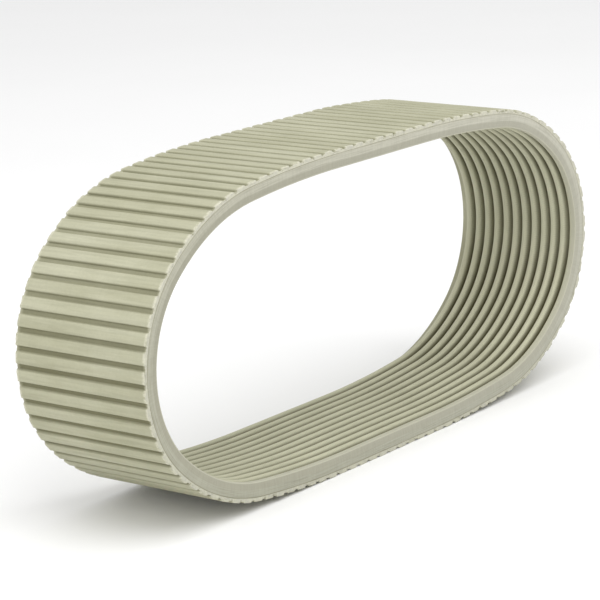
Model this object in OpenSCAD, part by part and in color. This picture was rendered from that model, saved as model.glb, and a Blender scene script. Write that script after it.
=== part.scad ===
// Endless multi-rib power transmission belt, standing on its lower run.
// X runs along the loop, Y across the belt, Z up. The origin is under the middle, on the floor.
// Offsets through the wall are measured outward from the crests of the drive ribs.

/* [Loop shape] */
// Half length of the straight part of each run, mm
run_half = 28.5; // [12:0.5:60]
// Radius at the crests round each end of the loop, mm
nose_r = 43.6; // [36:0.1:50]
// Radius where an end eases into a run, mm
shoulder_r = 75.3; // [60:0.1:110]
// Turn taken by each shoulder, degrees
shoulder_angle = 35.9; // [20:0.1:45]
// Radius of the slight crown next to the straight part, mm
crown_r = 473; // [300:1:800]
// Turn taken by each crown, degrees
crown_angle = 6.4; // [3:0.1:8]

/* [Drive ribs] */
// Number of lengthwise V ribs
drive_rib_count = 12; // [6:1:16]
// Spacing of the V ribs, mm
drive_rib_pitch = 4.7; // [4.7:0.1:5.4]
// Depth of the valleys between the V ribs, mm
drive_rib_depth = 3.3; // [2.6:0.1:3.5]
// Radius of the rounded rib crests, mm
crest_r = 1.3; // [1.1:0.05:1.35]
// Angle between the two flanks of a valley, degrees
flank_angle = 40; // [34:1:40]
// Distance from the middle of the front rib to the front cut edge, mm
front_margin = 2.2; // [1.4:0.1:4]
// Distance from the middle of the back rib to the back cut edge, mm
back_margin = 4.8; // [2.4:0.1:6]

/* [Cross ribs] */
// Number of cross ribs round the outside
cross_rib_count = 107; // [70:1:120]
// Depth of the grooves between the cross ribs, mm
groove_depth = 1.05; // [0.6:0.05:1.4]
// Share of the cross rib pitch taken by the groove
groove_share = 0.26; // [0.2:0.01:0.45]
// How far the first groove sits along from the start of the lower straight, mm
first_groove = -1.25; // [-3:0.05:3]
// Rounding of the cross rib corners, mm
land_round = 0.4; // [0.15:0.05:0.5]

/* [Plies] */
// Thickness of the textile facing on the drive ribs, mm
facing_t = 0.3; // [0.2:0.05:0.4]
// Rubber left between the valley facing and the lower cushion, mm
rib_base_t = 0.5; // [0.4:0.1:2]
// Height of each cushion ply up to the middle of the cords, mm
cushion_t = 0.65; // [0.65:0.05:1.5]
// Thickness of the woven tie ply, mm
tie_t = 0.35; // [0.25:0.05:0.6]
// Thickness of the cover below the grooves, mm
cover_base_t = 0.6; // [0.5:0.05:2]

/* [Tension cords] */
// Cord diameter, mm
cord_d = 0.9; // [0.6:0.05:1.2]
// Spacing of the cord turns across the belt, mm
cord_pitch = 1.9; // [1.3:0.05:2.4]
// Rubber kept between the last cord and the cut edge, mm
cord_edge = 0.9; // [0.8:0.1:3]

/* [Hidden] */
$fn = 96;

// Width across the belt and the offsets of the ply faces
belt_w = (drive_rib_count - 1) * drive_rib_pitch + front_margin + back_margin;
base_w = drive_rib_depth + facing_t + rib_base_t;
cord_w = base_w + cushion_t;
tie_w = cord_w + cushion_t;
cover_w = tie_w + tie_t;
floor_w = cover_w + cover_base_t;
land_w = floor_w + groove_depth;

// Turn of the round end, and where the arc centres sit about the middle of the loop
nose_angle = 180 - 2 * (crown_angle + shoulder_angle);
nose_third = nose_angle / 3;
shoulder_x = run_half + (crown_r - shoulder_r) * sin(crown_angle);
shoulder_y = (shoulder_r - nose_r) * cos(crown_angle + shoulder_angle);
nose_x = shoulder_x + (shoulder_r - nose_r) * sin(crown_angle + shoulder_angle);
crown_y = shoulder_y + (crown_r - shoulder_r) * cos(crown_angle);
run_y = crown_r - crown_y;
floor_z = run_y + land_w;

// Cord turns that fit in the width; neighbours take the opposite twist
cord_turns = 2 * floor((belt_w - 2 * cord_edge - cord_d) / cord_pitch / 2 + 0.5);
cord_y0 = -(cord_turns - 1) / 2 * cord_pitch;
cord_flats = 8;

// Pieces of the loop in order, each [centre x, centre y, crest radius, start angle, turn, length].
// The round ends are in thirds, so that no piece bends far.
// A straight piece has no turn and carries its start point in place of the centre.
PATH = [
    [-run_half, -run_y, 0, -90, 0, 2 * run_half],
    [run_half, crown_y, crown_r, -90, crown_angle, 0],
    [shoulder_x, shoulder_y, shoulder_r, -90 + crown_angle, shoulder_angle, 0],
    [nose_x, 0, nose_r, -nose_angle / 2, nose_third, 0],
    [nose_x, 0, nose_r, -nose_third / 2, nose_third, 0],
    [nose_x, 0, nose_r, nose_third / 2, nose_third, 0],
    [shoulder_x, -shoulder_y, shoulder_r, nose_angle / 2, shoulder_angle, 0],
    [run_half, -crown_y, crown_r, 90 - crown_angle, crown_angle, 0],
    [run_half, run_y, 0, 90, 0, 2 * run_half],
    [-run_half, -crown_y, crown_r, 90, crown_angle, 0],
    [-shoulder_x, -shoulder_y, shoulder_r, 90 + crown_angle, shoulder_angle, 0],
    [-nose_x, 0, nose_r, 180 - nose_angle / 2, nose_third, 0],
    [-nose_x, 0, nose_r, 180 - nose_third / 2, nose_third, 0],
    [-nose_x, 0, nose_r, 180 + nose_third / 2, nose_third, 0],
    [-shoulder_x, shoulder_y, shoulder_r, 180 + nose_angle / 2, shoulder_angle, 0],
    [-run_half, crown_y, crown_r, 270 - crown_angle, crown_angle, 0]
];

// Length of one piece at an offset, and the running total before each piece
function piece_length(p, w) = p[5] + (p[2] + w) * p[4] * PI / 180;
function total(list, n) = n == 0 ? 0 : total(list, n - 1) + list[n - 1];
floor_lengths = [for (p = PATH) piece_length(p, floor_w)];
floor_starts = [for (n = [0:len(PATH)]) total(floor_lengths, n)];
floor_loop = floor_starts[len(PATH)];
cross_pitch = floor_loop / cross_rib_count;
groove_half = cross_pitch * groove_share / 2;

// Point at a distance s along the groove floor line, at offset w
function piece_at(s) = max([for (n = [0:len(PATH) - 1]) if (floor_starts[n] <= s) n]);
function unit(a) = [cos(a), sin(a)];
function on_straight(p, u, w) = [p[0], p[1]] + unit(p[3] + 90) * u + unit(p[3]) * w;
function on_arc(p, u, w) =
    [p[0], p[1]] + unit(p[3] + u / (p[2] + floor_w) * 180 / PI) * (p[2] + w);
function on_piece(p, u, w) = p[4] == 0 ? on_straight(p, u, w) : on_arc(p, u, w);
function wrapped(s) = s - floor_loop * floor(s / floor_loop);
function loop_point(s, w) =
    let (t = wrapped(s), n = piece_at(t))
    on_piece(PATH[n], t - floor_starts[n], w);

// Flats round the loop in the plain plies, and the room they leave to the curved layers
loop_steps = 3 * cross_rib_count;
bond_gap = 0.02;

// Hairline between neighbouring lengths of the layers that are swept round the loop
joint_gap = 0.01;

// Faces of the layer that holds the cords
cords_low = cord_w - cord_d / 2 - bond_gap;
cords_high = cord_w + cord_d / 2 + bond_gap;

// Outline of one pitch: half a groove, a cross rib with eased corners, half a groove
land_start = groove_half + 0.1 * groove_depth;
corner_cut = land_round * 0.3;
PITCH_OUTLINE = [
    [groove_half, floor_w],
    [land_start, land_w - land_round],
    [land_start + corner_cut, land_w - corner_cut],
    [land_start + land_round, land_w],
    [cross_pitch - land_start - land_round, land_w],
    [cross_pitch - land_start - corner_cut, land_w - corner_cut],
    [cross_pitch - land_start, land_w - land_round],
    [cross_pitch - groove_half, floor_w]
];
cover_outline = [
    for (k = [0:cross_rib_count - 1])
    for (q = PITCH_OUTLINE)
    loop_point(first_groove + k * cross_pitch + q[0], q[1])
];

// Rib flank geometry at an inset below the outer skin of the drive ribs
half_flank = flank_angle / 2;
function flank_top_w(i) = crest_r - (crest_r - i) * sin(half_flank);
function flank_top_y(i) = (crest_r - i) * cos(half_flank);
function valley_w(i) = drive_rib_depth + i;
function valley_y(i) = flank_top_y(i) + (valley_w(i) - flank_top_w(i)) * tan(half_flank);

// Middle of each rib, the first one next to the front edge
function crest_y(k) = belt_w / 2 - front_margin - k * drive_rib_pitch;

// Corners of one rib below its rounded crest; the first rib has them on its back only
function rib_corners(i, k) = [
    if (k > 0) [valley_w(i), crest_y(k) + valley_y(i)],
    if (k > 0) [flank_top_w(i), crest_y(k) + flank_top_y(i)],
    [flank_top_w(i), crest_y(k) - flank_top_y(i)],
    [valley_w(i), crest_y(k) - valley_y(i)]
];

// Section through the drive ribs up to an offset, with the offset along x and the front at +y.
// The first rib runs on flat to the front edge; a shoulder as deep as the valleys ends the back.
module rib_section(i, top_w) {
    polygon([
        [top_w, belt_w / 2],
        [i, belt_w / 2],
        [i, crest_y(0)],
        for (k = [0:drive_rib_count - 1])
        for (q = rib_corners(i, k))
        q,
        [valley_w(i), -belt_w / 2],
        [top_w, -belt_w / 2]
    ]);
    for (k = [0:drive_rib_count - 1])
        translate([crest_r, crest_y(k)])
            circle(r = crest_r - i);
}

// Every second cord turn, as the section of a cord with a few flats round it
module cord_sections(first) {
    for (k = [first:2:cord_turns - 1])
        translate([cord_w, cord_y0 + k * cord_pitch])
            circle(d = cord_d, $fn = cord_flats);
}

// Carries a section along one piece of the loop
module arc_piece(p) {
    gap_turn = joint_gap / p[2] * 180 / PI;
    translate([p[0], p[1], 0])
        rotate_extrude(angle = p[4] - gap_turn, start = p[3])
            translate([p[2], 0])
                children();
}

module straight_piece(p) {
    translate([p[0], p[1], 0])
        rotate([0, 0, p[3]])
            translate([0, p[5] - joint_gap, 0])
                rotate([90, 0, 0])
                    linear_extrude(height = p[5] - joint_gap)
                        children();
}

// Carries a section round the whole loop
module round_loop() {
    stand_up()
        for (p = PATH) {
            if (p[4] == 0)
                straight_piece(p)
                    children();
            else
                arc_piece(p)
                    children();
        }
}

// Turns the loop upright on the floor
module stand_up() {
    translate([0, 0, floor_z])
        rotate([90, 0, 0])
            children();
}

// Filled area inside the loop out to an offset; the arcs are split into short flats
module loop_area(w) {
    polygon([for (n = [0:loop_steps - 1]) loop_point(n * floor_loop / loop_steps, w)]);
}

// A plain ply between two offsets, from one place across the belt to another
module plain_ply(w0, w1, y0 = -belt_w / 2, y1 = belt_w / 2) {
    stand_up()
        translate([0, 0, y0])
            linear_extrude(height = y1 - y0)
                difference() {
                    loop_area(w1);
                    loop_area(w0);
                }
}

module outer_cover() {
    color("#b9b894")
        stand_up()
            translate([0, 0, -belt_w / 2])
                linear_extrude(height = belt_w)
                    difference() {
                        polygon(cover_outline);
                        loop_area(cover_w);
                    }
}

module tie_fabric() {
    color("#8f8c78")
        plain_ply(tie_w, cover_w);
}

module cushion_top() {
    color("#a9a78f")
        plain_ply(cords_high, tie_w);
}

module cord_s() {
    color("#d8d2b8")
        round_loop()
            cord_sections(0);
}

module cord_z() {
    color("#cfc8aa")
        round_loop()
            cord_sections(1);
}

// The lower cushion, with a strip along each cut edge that seals the cords in
module cushion_base() {
    cords_end = cord_d / 2 - cord_y0;
    color("#a9a78f") {
        plain_ply(base_w, cords_low);
        plain_ply(cords_low, cords_high, cords_end, belt_w / 2);
        plain_ply(cords_low, cords_high, -belt_w / 2, -cords_end);
    }
}

module drive_ribs() {
    color("#aeac90")
        round_loop()
            rib_section(facing_t, base_w - bond_gap);
}

module rib_facing() {
    color("#a5a386")
        round_loop()
            difference() {
                rib_section(0, valley_w(facing_t));
                rib_section(facing_t, base_w);
            }
}

outer_cover();
tie_fabric();
cushion_top();
cord_s();
cord_z();
cushion_base();
drive_ribs();
rib_facing();
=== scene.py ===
"""Looks of an endless multi-rib drive belt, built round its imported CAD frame. Metres, Z up."""

import math
import random

import bpy
from mathutils import Matrix, Vector, noise


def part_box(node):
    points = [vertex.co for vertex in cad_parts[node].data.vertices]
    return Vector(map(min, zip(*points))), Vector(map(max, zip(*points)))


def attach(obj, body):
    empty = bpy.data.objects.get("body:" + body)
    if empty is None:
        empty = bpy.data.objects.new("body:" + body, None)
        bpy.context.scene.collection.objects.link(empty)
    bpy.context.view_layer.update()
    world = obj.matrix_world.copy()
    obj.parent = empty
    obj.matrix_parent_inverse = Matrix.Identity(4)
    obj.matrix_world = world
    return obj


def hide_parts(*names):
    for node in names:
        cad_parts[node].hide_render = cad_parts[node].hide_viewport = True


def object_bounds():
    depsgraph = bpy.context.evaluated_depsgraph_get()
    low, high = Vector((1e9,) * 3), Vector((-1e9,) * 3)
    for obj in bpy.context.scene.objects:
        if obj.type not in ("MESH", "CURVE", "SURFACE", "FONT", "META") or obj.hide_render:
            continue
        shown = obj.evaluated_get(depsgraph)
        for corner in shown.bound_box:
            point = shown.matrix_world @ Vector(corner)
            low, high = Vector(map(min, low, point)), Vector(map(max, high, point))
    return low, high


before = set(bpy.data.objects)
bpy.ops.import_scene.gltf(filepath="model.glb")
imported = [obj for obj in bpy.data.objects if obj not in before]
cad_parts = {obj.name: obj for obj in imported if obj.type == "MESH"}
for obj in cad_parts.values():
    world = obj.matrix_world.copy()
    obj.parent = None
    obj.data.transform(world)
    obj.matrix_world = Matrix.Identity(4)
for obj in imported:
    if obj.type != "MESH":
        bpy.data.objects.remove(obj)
cad_low, cad_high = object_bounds()

MM = 0.001

# Sizes of the loop, as the CAD part has them
RUN_HALF = 28.5 * MM
NOSE_R = 43.6 * MM
SHOULDER_R = 75.3 * MM
SHOULDER_TURN = math.radians(35.9)
CROWN_R = 473 * MM
CROWN_TURN = math.radians(6.4)

# Sizes through the wall, outward from the crests of the drive ribs
FACING_T = 0.3 * MM
RIB_DEPTH = 3.3 * MM
BASE_W = 4.1 * MM
CORDS_HIGH = 5.22 * MM
TIE_W = 5.4 * MM
COVER_W = 5.75 * MM
FLOOR_W = 6.35 * MM
LAND_W = 7.4 * MM

# Ribs. The front cut edge leans out below the face break, by the tilt in mm a mm.
RIB_COUNT = 12
RIB_PITCH = 4.7 * MM
CREST_R = 1.3 * MM
HALF_FLANK = math.radians(20)
FRONT_MARGIN = 2.2 * MM
FACE_BREAK = 2.9 * MM
FACE_TILT = 0.15
CROSS_COUNT = 107
GROOVE_SHARE = 0.26
FIRST_GROOVE = -1.25 * MM

cover_low, cover_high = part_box("outer_cover")
HALF_W = (cover_high.y - cover_low.y) / 2
CENTRE_Z = (cover_high.z + cover_low.z) / 2
FRONT_CREST = FRONT_MARGIN - HALF_W


# ---------------------------------------------------------------- the loop


def unit(angle):
    return math.cos(angle), math.sin(angle)


class Loop:
    """The crest line of the belt as straights and tangent arcs.
    It is walked anticlockwise from the left of the lower run."""

    def __init__(self):
        turn = CROWN_TURN + SHOULDER_TURN
        nose = math.pi - 2 * turn
        shoulder_x = RUN_HALF + (CROWN_R - SHOULDER_R) * math.sin(CROWN_TURN)
        shoulder_y = (SHOULDER_R - NOSE_R) * math.cos(turn)
        nose_x = shoulder_x + (SHOULDER_R - NOSE_R) * math.sin(turn)
        crown_y = shoulder_y + (CROWN_R - SHOULDER_R) * math.cos(CROWN_TURN)
        run_y = CROWN_R - crown_y
        quarter = math.pi / 2
        # An arc is its centre, radius, first angle and turn; a straight its start, None, normal and length.
        self.pieces = [
            (-RUN_HALF, -run_y, None, -quarter, 2 * RUN_HALF),
            (RUN_HALF, crown_y, CROWN_R, -quarter, CROWN_TURN),
            (shoulder_x, shoulder_y, SHOULDER_R, -quarter + CROWN_TURN, SHOULDER_TURN),
            (nose_x, 0, NOSE_R, -nose / 2, nose),
            (shoulder_x, -shoulder_y, SHOULDER_R, nose / 2, SHOULDER_TURN),
            (RUN_HALF, -crown_y, CROWN_R, quarter - CROWN_TURN, CROWN_TURN),
            (RUN_HALF, run_y, None, quarter, 2 * RUN_HALF),
            (-RUN_HALF, -crown_y, CROWN_R, quarter, CROWN_TURN),
            (-shoulder_x, -shoulder_y, SHOULDER_R, quarter + CROWN_TURN, SHOULDER_TURN),
            (-nose_x, 0, NOSE_R, math.pi - nose / 2, nose),
            (-shoulder_x, shoulder_y, SHOULDER_R, math.pi + nose / 2, SHOULDER_TURN),
            (-RUN_HALF, crown_y, CROWN_R, 3 * quarter - CROWN_TURN, CROWN_TURN),
        ]
        self.starts = [0.0]
        for _, _, radius, _, extent in self.pieces:
            along = extent if radius is None else (radius + FLOOR_W) * extent
            self.starts.append(self.starts[-1] + along)
        self.length = self.starts[-1]

    def station(self, s):
        """Point on the crest line and outward normal, a distance s along the groove floor line."""
        s %= self.length
        n = 0
        while n < len(self.pieces) - 1 and s >= self.starts[n + 1]:
            n += 1
        x, y, radius, start, _ = self.pieces[n]
        u = s - self.starts[n]
        if radius is None:
            ahead = unit(start + math.pi / 2)
            return (x + ahead[0] * u, y + ahead[1] * u), unit(start)
        out = unit(start + u / (radius + FLOOR_W))
        return (x + out[0] * radius, y + out[1] * radius), out


loop = Loop()
CROSS_PITCH = loop.length / CROSS_COUNT

# Units of the uv map in a metre, and the spacing of the sections of the ribs and plies
UV_SCALE = 10
STATION_STEP = 1.9 * MM


def lump(s, y, w, scale, seed):
    """Smooth noise from -1 to 1 that closes up round the loop."""
    a = 2 * math.pi * s / loop.length
    r = loop.length / (2 * math.pi)
    place = Vector((r * math.cos(a), r * math.sin(a), y + w * 3))
    return noise.noise(place / scale + Vector((seed, seed * 1.7, 0)))


# ---------------------------------------------------------------- meshes


def ring_mesh(name, stations, ring_at):
    """A closed band: ring_at(n, s) gives the (w, y) points round the section at each station.
    The uv map "loop" holds distance along the loop and offset through the wall, times UV_SCALE."""
    rings = [ring_at(n, s) for n, s in enumerate(stations)]
    count = len(rings[0])
    verts = []
    for s, ring in zip(stations, rings):
        (px, pz), (nx, nz) = loop.station(s)
        verts += [(px + nx * w, y, CENTRE_Z + pz + nz * w) for w, y in ring]
    faces = []
    corners = []
    for n, here in enumerate(rings):
        m = (n + 1) % len(rings)
        ahead = rings[m]
        s1 = stations[n]
        s2 = stations[m] if m else loop.length
        for k in range(count):
            k2 = (k + 1) % count
            faces.append((n * count + k, n * count + k2, m * count + k2, m * count + k))
            corners += [(s1, here[k][0]), (s1, here[k2][0]), (s2, ahead[k2][0]), (s2, ahead[k][0])]
    mesh = bpy.data.meshes.new(name)
    mesh.from_pydata(verts, [], faces)
    uv = mesh.uv_layers.new(name="loop")
    uv.data.foreach_set("uv", [UV_SCALE * value for corner in corners for value in corner])
    mesh.update()
    obj = bpy.data.objects.new(name, mesh)
    bpy.context.scene.collection.objects.link(obj)
    return obj


def smooth_by_angle(obj, degrees):
    obj.data.shade_smooth()
    obj.data.set_sharp_from_angle(angle=math.radians(degrees))


def finish_piece(obj, node, material):
    obj.data.materials.append(material)
    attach(obj, "root")
    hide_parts(node)


# ---------------------------------------------------------------- the cover

LAND_ROUND = 0.62 * MM
FLOOR_ROUND = 0.16 * MM
WALL_RUN = 0.18 * MM


def pitch_profile():
    """Distance from the groove's middle and offset, from mid groove to mid groove, with rounded corners."""
    half = CROSS_PITCH * GROOVE_SHARE / 2
    wall = half + WALL_RUN
    right = []
    for q in (0, 0.6):
        right.append((half * q, FLOOR_W))
    for q in (0, 30, 60, 90):
        a = math.radians(q)
        u = half - FLOOR_ROUND + FLOOR_ROUND * math.sin(a)
        right.append((u, FLOOR_W + FLOOR_ROUND * (1 - math.cos(a))))
    for q in (0, 22.5, 45, 67.5, 90):
        a = math.radians(q)
        u = wall + LAND_ROUND * (1 - math.cos(a))
        right.append((u, LAND_W - LAND_ROUND * (1 - math.sin(a))))
    right.append((wall + LAND_ROUND + 0.4 * MM, LAND_W))
    mid = CROSS_PITCH / 2
    left = [(CROSS_PITCH - u, w) for u, w in reversed(right[1:])]
    return right + [(mid, LAND_W)] + left


def cover_rows():
    """Every row round the cover as (station, offset, height share, rib), varied a little from rib to rib."""
    draw = random.Random(11)
    rows = []
    for k in range(CROSS_COUNT):
        rise = draw.uniform(-0.05, 0.03) * MM
        shift = draw.uniform(-0.07, 0.07) * MM
        for u, w in pitch_profile():
            share = (w - FLOOR_W) / (LAND_W - FLOOR_W)
            s = (FIRST_GROOVE + k * CROSS_PITCH + u + shift * share) % loop.length
            rows.append((s, w + rise * share, share, k))
    rows.sort(key=lambda row: row[0])
    return rows


def across(half, edge_steps, steps):
    """Positions across the belt: close together near the two cut edges."""
    inner = half - edge_steps[-1]
    left = [-half + e for e in edge_steps]
    mid = [-inner + 2 * inner * n / steps for n in range(1, steps)]
    return left + mid + [-y for y in reversed(left)]


def make_cover(material):
    rows = cover_rows()
    draw = random.Random(5)
    burr = [[draw.random() for _ in range(CROSS_COUNT)] for _ in range(2)]
    edge = [0, 0.06 * MM, 0.18 * MM, 0.4 * MM, 0.8 * MM, 1.4 * MM]
    line = across(HALF_W, edge, 22)
    cut_steps = 4
    edge_zone = edge[-1]
    edge_round = edge[2]

    def ragged(side, s, share, k, w):
        """How far the cut edge stands out at this row: roughness, and a burr on the cross ribs."""
        fine = 0.24 * lump(s, side * 0.3, w, 0.9 * MM, 3)
        broad = 0.12 * lump(s, side * 0.3, w, 3 * MM, 8)
        return (fine + broad + share * (0.28 * burr[side > 0][k] - 0.04)) * MM

    def ring_at(n, s):
        """The lands and grooves from front to back, then down the back cut edge and up the front one."""
        _, w, share, k = rows[n]
        ring = []
        for y in line:
            side = 1 if y > 0 else -1
            near = max(0.0, 1 - (HALF_W - abs(y)) / edge_zone)
            lift = 0.035 * MM * lump(s, y, 0, 7 * MM, 1) * share
            lift += 0.38 * MM * near * (1 - share) * (0.75 + 0.5 * burr[side > 0][k])
            lip = near * near * share * (burr[side > 0][k] * 0.12 - 0.1) * MM
            drop = 0.14 * MM * max(0.0, 1 - (HALF_W - abs(y)) / edge_round) ** 2
            out = side * near * ragged(side, s, share, k, w)
            ring.append((w + lift + lip - drop * (0.4 + share), y + out))
        top = ring[-1][0]
        for j in range(1, cut_steps):
            wj = top + (COVER_W - top) * j / cut_steps
            ring.append((wj, HALF_W + ragged(1, s, share, k, wj) * (1 - j / cut_steps)))
        ring.append((COVER_W, HALF_W))
        ring.append((COVER_W, -HALF_W))
        top = ring[0][0]
        for j in range(cut_steps - 1, 0, -1):
            wj = top + (COVER_W - top) * j / cut_steps
            ring.append((wj, -HALF_W - ragged(-1, s, share, k, wj) * (1 - j / cut_steps)))
        return ring

    cover = ring_mesh("cover_skin", [row[0] for row in rows], ring_at)
    smooth_by_angle(cover, 38)
    finish_piece(cover, "outer_cover", material)


# ---------------------------------------------------------------- the drive ribs


def rib_outline(inset):
    """Skin of the drive ribs across the belt, inset below the surface.
    Its points are (w, y) from the front cut edge to the back. The front rib runs on flat to its
    cut edge; a shoulder as deep as the valleys ends the back."""
    radius = CREST_R - inset
    top_w = CREST_R - radius * math.sin(HALF_FLANK)
    top_y = radius * math.cos(HALF_FLANK)
    depth = RIB_DEPTH + inset
    foot_y = top_y + (depth - top_w) * math.tan(HALF_FLANK)
    root_round = 0.25 * MM

    def flank(crest, side):
        """From the valley floor up to the start of the crest's round, on one side of a crest."""
        points = [(depth, crest + side * (foot_y + root_round * 0.6))]
        points.append((depth - root_round * 0.4, crest + side * foot_y))
        for q in (0.12, 0.4, 0.7):
            points.append((depth + (top_w - depth) * q, crest + side * (foot_y - (foot_y - top_y) * q)))
        return points

    def crown(crest, first, last, steps):
        turns = [math.radians(first + (last - first) * j / steps) for j in range(steps + 1)]
        return [(CREST_R - radius * math.cos(a), crest + radius * math.sin(a)) for a in turns]

    lean = 90 - math.degrees(HALF_FLANK)
    corner = ((0.12, 0), (0.03, 0.05), (0, 0.12))
    points = [(inset + drop * MM, front_face(inset) + along * MM) for drop, along in corner]
    points.append((inset, (FRONT_CREST - HALF_W) / 2))
    points += crown(FRONT_CREST, 0, lean, 6) + flank(FRONT_CREST, 1)[::-1]
    for n in range(1, RIB_COUNT):
        crest = FRONT_CREST + n * RIB_PITCH
        points += flank(crest, -1) + crown(crest, -lean, lean, 12) + flank(crest, 1)[::-1]
    last = FRONT_CREST + (RIB_COUNT - 1) * RIB_PITCH + foot_y
    return points + [(depth, (last + HALF_W) / 2), (depth, HALF_W)]


def front_face(w):
    """How far the front cut edge stands out, easing in towards the crests."""
    return -HALF_W + max(0.0, FACE_BREAK - w) * FACE_TILT


def even_stations(step):
    """Stations a step apart round the loop, as near as a whole number of them allows."""
    count = round(loop.length / step)
    return [loop.length * n / count for n in range(count)]


def make_facing(material):
    outer = rib_outline(0)
    inner = rib_outline(FACING_T)

    def ring_at(n, s):
        skin = [(w + 0.03 * MM * lump(s, y, w, 5 * MM, 21), y) for w, y in reversed(outer)]
        return skin + inner

    facing = ring_mesh("rib_skin", even_stations(STATION_STEP), ring_at)
    smooth_by_angle(facing, 50)
    finish_piece(facing, "rib_facing", material)


def make_rib_core(material):
    inner = rib_outline(FACING_T)
    steps = 7

    def wall(side, s, low):
        """The cut edge from the facing up to the cushion."""
        out = []
        for j in range(1, steps):
            w = low + (BASE_W - low) * j / steps
            y = -front_face(w) if side < 0 else HALF_W
            out.append((w, side * (y + 0.05 * MM * lump(s, side, w, 1.6 * MM, 31))))
        return out + [(BASE_W, side * HALF_W)]

    def ring_at(n, s):
        front = wall(-1, s, inner[0][0])
        back = wall(1, s, inner[-1][0])
        return [*reversed(inner), *front, *reversed(back)]

    core = ring_mesh("rib_rubber_core", even_stations(STATION_STEP), ring_at)
    smooth_by_angle(core, 50)
    finish_piece(core, "drive_ribs", material)


def make_ply(name, node, low, high, stand_out, seed, material):
    """A ply between two offsets whose cut edge stands out, or sits back where stand_out is negative."""

    def ring_at(n, s):
        near = -HALF_W - (stand_out + 0.05 * MM * lump(s, -1, 0, 1.5 * MM, seed))
        far = HALF_W + stand_out + 0.05 * MM * lump(s, 1, 0, 1.5 * MM, seed)
        mid = (low + high) / 2
        return [(low, -HALF_W), (mid, near), (high, -HALF_W), (high, HALF_W), (mid, far), (low, HALF_W)]

    ply = ring_mesh(name, even_stations(STATION_STEP), ring_at)
    smooth_by_angle(ply, 50)
    finish_piece(ply, node, material)


# ---------------------------------------------------------------- materials


def linear(channel):
    c = channel / 255
    return c / 12.92 if c <= 0.04045 else ((c + 0.055) / 1.055) ** 2.4


def srgb(r, g, b):
    """Linear colour of an sRGB tone given from 0 to 255."""
    return linear(r), linear(g), linear(b), 1


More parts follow.
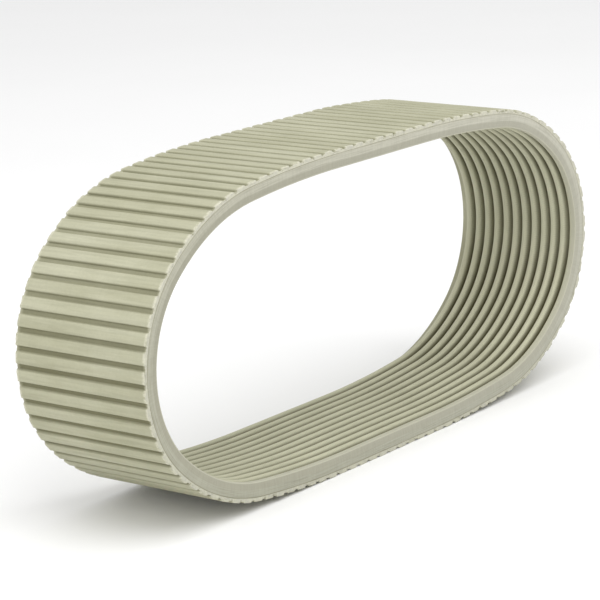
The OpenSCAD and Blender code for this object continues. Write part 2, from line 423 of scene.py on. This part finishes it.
class Shader:
    """Small helper that builds a node tree round one Principled shader."""

    def __init__(self, name):
        self.material = bpy.data.materials.new(name)
        self.material.use_nodes = True
        self.tree = self.material.node_tree
        self.tree.nodes.clear()
        self.out = self.tree.nodes.new("ShaderNodeOutputMaterial")
        self.main = self.tree.nodes.new("ShaderNodeBsdfPrincipled")
        self.link(self.main.outputs["BSDF"], self.out.inputs["Surface"])
        self.coords = self.tree.nodes.new("ShaderNodeTexCoord")
        self.uv = self.tree.nodes.new("ShaderNodeUVMap")
        self.uv.uv_map = "loop"

    def link(self, a, b):
        self.tree.links.new(a, b)

    def noise(self, scale, detail, rough=0.6, stretch=(1, 1, 1), vector=None, shift=(0, 0, 0)):
        """Noise in object space, or along the vector that is given."""
        mapping = self.tree.nodes.new("ShaderNodeMapping")
        mapping.inputs["Scale"].default_value = stretch
        mapping.inputs["Location"].default_value = shift
        self.link(vector or self.coords.outputs["Object"], mapping.inputs["Vector"])
        n = self.tree.nodes.new("ShaderNodeTexNoise")
        n.inputs["Scale"].default_value = scale
        n.inputs["Detail"].default_value = detail
        n.inputs["Roughness"].default_value = rough
        self.link(mapping.outputs["Vector"], n.inputs["Vector"])
        return n.outputs["Fac"]

    def wave(self, scale, distortion, vector):
        n = self.tree.nodes.new("ShaderNodeTexWave")
        n.inputs["Scale"].default_value = scale
        n.inputs["Distortion"].default_value = distortion
        n.inputs["Detail"].default_value = 2.0
        n.inputs["Detail Scale"].default_value = 1.5
        self.link(vector, n.inputs["Vector"])
        return n.outputs["Fac"]

    def ramp(self, value, stops):
        r = self.tree.nodes.new("ShaderNodeValToRGB")
        while len(r.color_ramp.elements) < len(stops):
            r.color_ramp.elements.new(0.5)
        for element, (place, colour) in zip(r.color_ramp.elements, stops):
            element.position = place
            element.color = colour if isinstance(colour, tuple) else (colour, colour, colour, 1)
        self.link(value, r.inputs["Fac"])
        return r.outputs["Color"]

    def math(self, kind, a, b=None):
        n = self.tree.nodes.new("ShaderNodeMath")
        n.operation = kind
        for socket, value in zip(n.inputs, (a, b)):
            if value is None:
                continue
            if isinstance(value, (int, float)):
                socket.default_value = value
            else:
                self.link(value, socket)
        return n.outputs["Value"]

    def mix(self, factor, a, b, kind="MIX"):
        n = self.tree.nodes.new("ShaderNodeMix")
        n.data_type = "RGBA"
        n.blend_type = kind
        for socket, value in ((n.inputs[0], factor), (n.inputs[6], a), (n.inputs[7], b)):
            if isinstance(value, (int, float, tuple)):
                socket.default_value = value
            else:
                self.link(value, socket)
        return n.outputs[2]

    def remap(self, value, low, high, to_low, to_high):
        n = self.tree.nodes.new("ShaderNodeMapRange")
        n.inputs["From Min"].default_value = low
        n.inputs["From Max"].default_value = high
        n.inputs["To Min"].default_value = to_low
        n.inputs["To Max"].default_value = to_high
        self.link(value, n.inputs["Value"])
        return n.outputs["Result"]

    def split_uv(self):
        n = self.tree.nodes.new("ShaderNodeSeparateXYZ")
        self.link(self.uv.outputs["UV"], n.inputs["Vector"])
        return n.outputs["X"], n.outputs["Y"]

    def position(self):
        n = self.tree.nodes.new("ShaderNodeSeparateXYZ")
        self.link(self.coords.outputs["Object"], n.inputs["Vector"])
        return n.outputs["X"], n.outputs["Y"], n.outputs["Z"]

    def facing_up(self):
        """World height of the surface normal."""
        geometry = self.tree.nodes.new("ShaderNodeNewGeometry")
        n = self.tree.nodes.new("ShaderNodeSeparateXYZ")
        self.link(geometry.outputs["Normal"], n.inputs["Vector"])
        return n.outputs["Z"]

    def bump(self, height, distance, strength, below=None):
        n = self.tree.nodes.new("ShaderNodeBump")
        n.inputs["Distance"].default_value = distance
        n.inputs["Strength"].default_value = strength
        self.link(height, n.inputs["Height"])
        if below is not None:
            self.link(below, n.inputs["Normal"])
        return n.outputs["Normal"]

    def done(self, colour, roughness, normal, specular=0.3, sheen=0.0):
        self.link(colour, self.main.inputs["Base Color"])
        self.link(roughness, self.main.inputs["Roughness"])
        self.link(normal, self.main.inputs["Normal"])
        self.main.inputs["Specular IOR Level"].default_value = specular
        self.main.inputs["Sheen Weight"].default_value = sheen
        return self.material


# Tones, with painted shade for the grooves and rib valleys, a painted rim highlight, and tints of painted
# shade that darken the cut face low down and to the left
KHAKI_LIGHT = srgb(188, 187, 163)
KHAKI = srgb(173, 172, 146)
KHAKI_DARK = srgb(148, 146, 116)
GROOVE_SHADE = srgb(106, 104, 74)
CUT = srgb(195, 193, 179)
CUT_DARK = srgb(176, 174, 159)
CORE = srgb(170, 168, 153)
TIE = srgb(178, 175, 158)
RIM_HIGHLIGHT_AND_PALE_PATCH = srgb(206, 204, 184)
LOW_DOWN_SHADE = (0.8, 0.81, 0.79, 1)
LEFT_SIDE_SHADE = (0.85, 0.85, 0.81, 1)
FACING = srgb(197, 196, 171)
FACING_WORN = srgb(187, 186, 161)
FACING_VALLEY_SHADE = srgb(94, 90, 62)


def edge_mask(sh, start, full):
    """0 inside the belt, 1 on the cut edges."""
    _, y, _ = sh.position()
    return sh.remap(sh.math("ABSOLUTE", y), HALF_W - start, HALF_W - full, 0.0, 1.0)


def cover_material():
    sh = Shader("khaki cover rubber")
    _, w = sh.split_uv()
    large = sh.noise(28, 3, 0.55)
    fine = sh.noise(900, 5, 0.65)
    streak = sh.noise(140, 4, 0.6, stretch=(1.0, 0.06, 1.0))
    tone = sh.ramp(large, [(0.3, KHAKI), (0.7, KHAKI_LIGHT)])
    tone = sh.mix(sh.remap(streak, 0.35, 0.7, 0.0, 0.35), tone, KHAKI_DARK)
    # Painted shade: the grooves darken towards their floors, less where the surface faces up.
    depth = sh.remap(w, FLOOR_W * UV_SCALE, (LAND_W - 0.25 * MM) * UV_SCALE, 1.0, 0.0)
    tone = sh.mix(sh.math("MULTIPLY", depth, sh.remap(sh.facing_up(), 0.0, 0.8, 0.85, 0.4)), tone, GROOVE_SHADE)
    # Painted highlight: a broken light band along the cut edges of the lands. The same pale tone also gives
    # random patches on the cut face.
    highlight_breakup = sh.ramp(sh.noise(700, 3, 0.7), [(0.38, 0.0), (0.55, 1.0)])
    rim_highlight_mask = sh.math("MULTIPLY", edge_mask(sh, 1.1 * MM, 0.3 * MM), highlight_breakup)
    proud = sh.remap(w, FLOOR_W * UV_SCALE, LAND_W * UV_SCALE, 0.0, 1.0)
    tone = sh.mix(sh.math("MULTIPLY", rim_highlight_mask, proud), tone, RIM_HIGHLIGHT_AND_PALE_PATCH)
    cut = edge_mask(sh, 0.12 * MM, 0.0)
    patchy = sh.ramp(sh.noise(420, 4, 0.7), [(0.34, CUT), (0.6, RIM_HIGHLIGHT_AND_PALE_PATCH)])
    # Painted shade: the cut face darkens low down.
    _, _, z = sh.position()
    low_down = sh.remap(z, cad_low.z, cad_high.z, 0.7, 0.0)
    tone = sh.mix(cut, tone, sh.mix(low_down, patchy, sh.mix(1.0, patchy, LOW_DOWN_SHADE, "MULTIPLY")))
    grain = sh.ramp(fine, [(0.3, 0.93), (0.7, 1.0)])
    tone = sh.mix(1.0, tone, grain, "MULTIPLY")
    lines = sh.noise(900, 3, 0.6, stretch=(1.0, 0.05, 1.0))
    tone = sh.mix(1.0, tone, sh.ramp(lines, [(0.36, 0.9), (0.6, 1.0)]), "MULTIPLY")
    rough = sh.remap(sh.noise(300, 3), 0.3, 0.7, 0.62, 0.82)
    normal = sh.bump(lines, 0.1 * MM, 0.6)
    normal = sh.bump(fine, 0.05 * MM, 0.6, normal)
    normal = sh.bump(sh.noise(1500, 2), 0.04 * MM, 0.5, normal)
    return sh.done(tone, rough, normal)


def cut_rubber_material(name, light, dark, line_scale, seed, crest_tone=None):
    """Rubber seen on the cut edges, with fine lines that follow the loop and a faint grain across them.
    It carries painted shade, darker low down and to the left. A crest tone takes over below the face break."""
    sh = Shader(name)
    uv = sh.uv.outputs["UV"]
    lines = sh.noise(line_scale, 3, 0.5, stretch=(0.02, 1.0, 1.0), vector=uv, shift=(seed, seed * 0.37, 0))
    patch = sh.noise(180, 4, 0.6)
    tone = sh.ramp(lines, [(0.36, dark), (0.56, light)])
    tone = sh.mix(sh.remap(patch, 0.35, 0.7, 0.0, 0.4), tone, light)
    # Painted shade: darker low down.
    x, _, z = sh.position()
    low_down = sh.remap(z, cad_low.z, cad_high.z, 1.0, 0.0)
    tone = sh.mix(low_down, tone, sh.mix(1.0, tone, LOW_DOWN_SHADE, "MULTIPLY"))
    if crest_tone:
        _, w = sh.split_uv()
        break_w = FACE_BREAK * UV_SCALE
        tone = sh.mix(sh.remap(w, break_w * 1.04, break_w * 0.9, 0.0, 0.85), tone, crest_tone)
    # Painted shade: darker to the left.
    leftward = sh.remap(x, cad_low.x, cad_high.x, 1.0, 0.0)
    tone = sh.mix(leftward, tone, sh.mix(1.0, tone, LEFT_SIDE_SHADE, "MULTIPLY"))
    grain = sh.noise(130, 3, 0.6, stretch=(1.0, 0.12, 1.0), vector=uv)
    tone = sh.mix(1.0, tone, sh.ramp(grain, [(0.35, 0.93), (0.6, 1.0)]), "MULTIPLY")
    rough = sh.remap(sh.noise(400, 3), 0.3, 0.7, 0.7, 0.88)
    normal = sh.bump(lines, 0.12 * MM, 0.6)
    normal = sh.bump(sh.noise(1300, 4), 0.05 * MM, 0.6, normal)
    return sh.done(tone, rough, normal, 0.25)


def facing_material():
    """Fine diagonal weave pressed into the drive ribs."""
    sh = Shader("rib facing weave")
    s, w = sh.split_uv()
    _, y, _ = sh.position()
    cross = sh.tree.nodes.new("ShaderNodeCombineXYZ")
    sh.link(sh.math("MULTIPLY", s, 0.1), cross.inputs["X"])
    sh.link(sh.math("ADD", y, sh.math("MULTIPLY", w, 0.06)), cross.inputs["Y"])
    weave = []
    for turn in (38, -52):
        spin = sh.tree.nodes.new("ShaderNodeMapping")
        spin.inputs["Rotation"].default_value = (0, 0, math.radians(turn))
        sh.link(cross.outputs["Vector"], spin.inputs["Vector"])
        weave.append(sh.wave(420, 1.2, spin.outputs["Vector"]))
    both = sh.math("MAXIMUM", weave[0], sh.math("MULTIPLY", weave[1], 0.7))
    large = sh.noise(35, 3, 0.55)
    tone = sh.ramp(large, [(0.3, FACING), (0.7, FACING_WORN)])
    depth = sh.remap(w, 0.0, RIB_DEPTH * UV_SCALE, 0.0, 1.0)
    depth = sh.ramp(depth, [(0.15, 0.0), (0.45, 0.5), (0.85, 0.86)])
    # Painted shade in the valleys between the ribs, growing with depth and where the surface faces up or
    # down. The plain shoulder at the back stays lighter than the valleys between the ribs.
    valleys = sh.remap(y, HALF_W - 2.9 * MM, HALF_W - 2.5 * MM, 1.0, 0.25)
    flat_on = sh.remap(sh.math("ABSOLUTE", sh.facing_up()), 0.05, 0.32, 0.76, 1.5)
    tone = sh.mix(sh.math("MULTIPLY", sh.math("MULTIPLY", depth, valleys), flat_on), tone, FACING_VALLEY_SHADE)
    tone = sh.mix(1.0, tone, sh.ramp(both, [(0.0, 0.88), (0.8, 1.0)]), "MULTIPLY")
    # Towards the front edge the facing takes the tone of cut rubber.
    front = sh.remap(y, FRONT_CREST + 0.8 * MM, FRONT_CREST - 0.6 * MM, 0.0, 0.65)
    tone = sh.mix(front, tone, CUT_DARK)
    rough = sh.remap(sh.noise(260, 3), 0.3, 0.7, 0.68, 0.86)
    normal = sh.bump(both, 0.06 * MM, 0.7)
    normal = sh.bump(sh.noise(1100, 4), 0.04 * MM, 0.5, normal)
    return sh.done(tone, rough, normal, 0.25, 0.08)


def cord_material():
    """Twisted dipped fibre; the cords are sealed inside the wall."""
    sh = Shader("tension cord fibre")
    twist = sh.noise(1200, 3, 0.6, stretch=(1, 4, 1))
    tone = sh.ramp(twist, [(0.3, srgb(196, 186, 156)), (0.7, srgb(222, 214, 190))])
    rough = sh.remap(sh.noise(500, 3), 0.3, 0.7, 0.6, 0.8)
    return sh.done(tone, rough, sh.bump(twist, 0.05 * MM, 0.7))


# ---------------------------------------------------------------- build the belt

make_cover(cover_material())
make_facing(facing_material())
make_rib_core(cut_rubber_material("cut rib rubber", CUT, CUT_DARK, 260, 1.3, CORE))
make_ply("base_cushion_ply", "cushion_base", BASE_W, CORDS_HIGH, 0.03 * MM, 41,
         cut_rubber_material("lower cushion rubber", CUT, CUT_DARK, 320, 4.1))
make_ply("top_cushion_ply", "cushion_top", CORDS_HIGH, TIE_W, 0.03 * MM, 42,
         cut_rubber_material("upper cushion rubber", CUT, TIE, 320, 7.7))
make_ply("tie_ply_cut", "tie_fabric", TIE_W, COVER_W, -0.06 * MM, 43,
         cut_rubber_material("tie ply", TIE, srgb(146, 143, 124), 500, 9.2))

cord_look = cord_material()
for node in ("cord_s", "cord_z"):
    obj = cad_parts[node]
    obj.data.materials.clear()
    obj.data.materials.append(cord_look)


# ---------------------------------------------------------------- room, light and camera

FLOOR_HALF = 6.0


def make_floor():
    sh = Shader("pale floor")
    tone = sh.ramp(sh.noise(3, 3), [(0.3, (0.93, 0.93, 0.93, 1)), (0.7, (0.95, 0.95, 0.95, 1))])
    rough = sh.remap(sh.noise(8, 3), 0.3, 0.7, 0.85, 0.95)
    material = sh.done(tone, rough, sh.bump(sh.noise(400, 2), 0.02 * MM, 0.1), 0.1)
    mesh = bpy.data.meshes.new("floor")
    h = FLOOR_HALF
    z = cad_low.z
    mesh.from_pydata([(-h, -h, z), (h, -h, z), (h, h, z), (-h, h, z)], [], [(0, 1, 2, 3)])
    mesh.materials.append(material)
    floor = bpy.data.objects.new("floor", mesh)
    bpy.context.scene.collection.objects.link(floor)


def area_light(name, azimuth, elevation, distance, size, power, target):
    """Square area light aimed at the belt, by azimuth and elevation round it."""
    a, e = math.radians(azimuth), math.radians(elevation)
    back = Vector((math.sin(a) * math.cos(e), -math.cos(a) * math.cos(e), math.sin(e)))
    light = bpy.data.lights.new(name, "AREA")
    light.size = size
    light.energy = power
    obj = bpy.data.objects.new(name, light)
    obj.location = target + back * distance
    obj.rotation_euler = (-back).to_track_quat("-Z", "Y").to_euler()
    bpy.context.scene.collection.objects.link(obj)


def make_lights():
    target = Vector((0, 0, CENTRE_Z))
    area_light("key", -20, 62, 1.4, 1.5, 13, target)
    area_light("left_fill", -95, 25, 1.3, 0.9, 3, target)
    world = bpy.data.worlds.new("studio")
    world.use_nodes = True
    background = world.node_tree.nodes["Background"]
    background.inputs["Color"].default_value = (1, 1, 1, 1)
    background.inputs["Strength"].default_value = 0.8
    scene = bpy.context.scene
    scene.world = world
    scene.view_settings.view_transform = "Standard"
    scene.view_settings.look = "None"
    scene.view_settings.exposure = 0
    scene.view_settings.gamma = 1


CAMERA_AZIMUTH = -52.87
CAMERA_ELEVATION = 13.68
CAMERA_ROLL = -2.09
CAMERA_DISTANCE = 1.0309
CAMERA_AIM_RIGHT = -10.29 * MM
CAMERA_AIM_UP = -5.10 * MM
CAMERA_LENS_MM = 159.9


def make_camera():
    a, e, r = (math.radians(v) for v in (CAMERA_AZIMUTH, CAMERA_ELEVATION, CAMERA_ROLL))
    back = Vector((math.sin(a) * math.cos(e), -math.cos(a) * math.cos(e), math.sin(e)))
    level = Vector((math.cos(a), math.sin(a), 0))
    over = back.cross(level)
    right = level * math.cos(r) + over * math.sin(r)
    up = over * math.cos(r) - level * math.sin(r)
    camera = bpy.data.cameras.new("camera")
    camera.lens = CAMERA_LENS_MM
    camera.sensor_width = 36
    camera.clip_start = 0.05
    camera.clip_end = 50
    obj = bpy.data.objects.new("camera", camera)
    place = back * CAMERA_DISTANCE + right * CAMERA_AIM_RIGHT + up * CAMERA_AIM_UP
    place += Vector((0, 0, CENTRE_Z))
    turn = Matrix((right, up, back)).transposed()
    obj.matrix_world = Matrix.Translation(place) @ turn.to_4x4()
    bpy.context.scene.collection.objects.link(obj)
    bpy.context.scene.camera = obj


make_floor()
make_lights()
make_camera()
